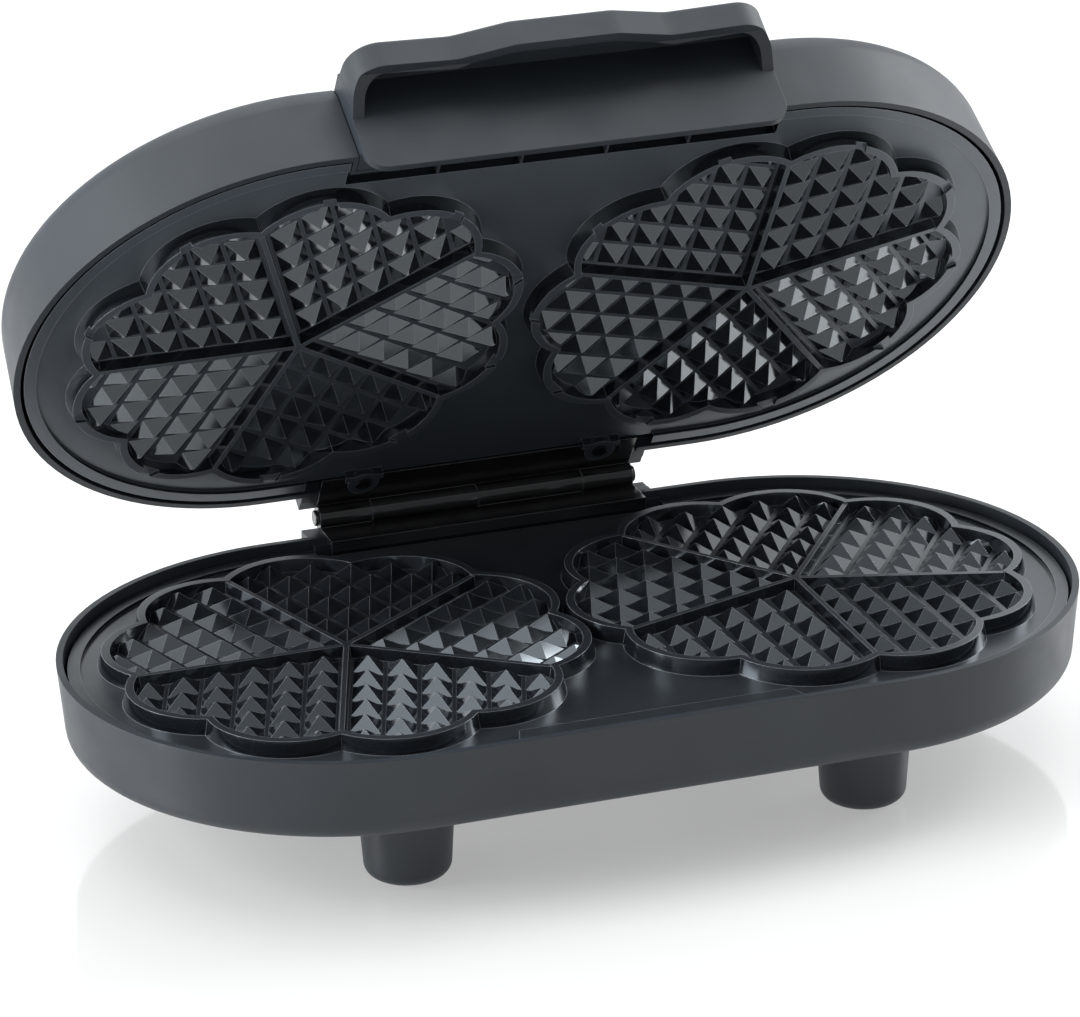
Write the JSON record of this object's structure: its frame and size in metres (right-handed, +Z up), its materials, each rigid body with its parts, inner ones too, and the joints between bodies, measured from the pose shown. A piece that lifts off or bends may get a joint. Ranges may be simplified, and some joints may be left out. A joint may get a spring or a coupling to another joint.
{
  "type": "waffle maker",
  "caption": "Electric double waffle maker with two heart-petal moulds per cast plate, hinged lid with wide hood handle, oblong plastic housings and round feet.",
  "frame": {"origin": "on the table, at the middle of the open machine's length and depth", "axes": "+X along the machine's length, to the user's right; +Y from the handle's side to the hinge's side; +Z up"},
  "size_m": [0.385, 0.2421, 0.2862],
  "materials": {
    "black_plastic": "matt black plastic",
    "black_steel": "satin black coated sheet steel",
    "bright_steel": "bare steel",
    "ceramic": "glazed ceramic",
    "housing_plastic": "matt fine-grain moulded plastic, slate grey",
    "lamp_glass": "clear glass",
    "lens_green": "clear green plastic",
    "lens_red": "clear red plastic",
    "pad_rubber": "soft black rubber",
    "plate_coating": "black-grey non-stick coating on cast aluminium",
    "screw_steel": "zinc plated steel",
    "shield_steel": "bare aluminium sheet"
  },
  "bodies": {
    "base": {"base_housing": "housing_plastic", "foot_front_left": "housing_plastic", "foot_front_right": "housing_plastic", "foot_rear_left": "housing_plastic", "foot_rear_right": "housing_plastic", "foot_pads": "pad_rubber", "lower_plate": "plate_coating", "lower_plate_screws": "screw_steel", "lower_heating_elements": "bright_steel", "lower_heat_shield": "shield_steel", "terminal_block": "ceramic", "cord_gland": "black_plastic", "base_hinge_leaf": "black_steel", "hinge_pin": "black_steel", "base_hinge_screws": "screw_steel"},
    "lid": {"lid_housing": "housing_plastic", "handle": "housing_plastic", "handle_screws": "screw_steel", "upper_plate": "plate_coating", "upper_plate_screws": "screw_steel", "upper_heating_elements": "bright_steel", "upper_heat_shield": "shield_steel", "lid_hinge_leaf": "black_steel", "thermostat": "black_plastic", "thermostat_bracket": "bright_steel", "thermal_fuse": "ceramic", "power_lens": "lens_red", "ready_lens": "lens_green", "indicator_lamps": "lamp_glass"},
    "knob": {"control_knob": "black_plastic", "thermostat_shaft": "bright_steel"}
  },
  "joints": [
    {"name": "lid_hinge", "type": "hinge", "parent": "base", "child": "lid", "pos_m": [0, 0.10094, 0.0645], "axis": [1, 0, 0], "range_deg": [-50, 55]},
    {"name": "knob_turn", "type": "hinge", "parent": "lid", "child": "knob", "pos_m": [0, 0.07192, 0.17481], "axis": [0, 0.8192, 0.5736], "range_deg": [-135, 135]}
  ]
}
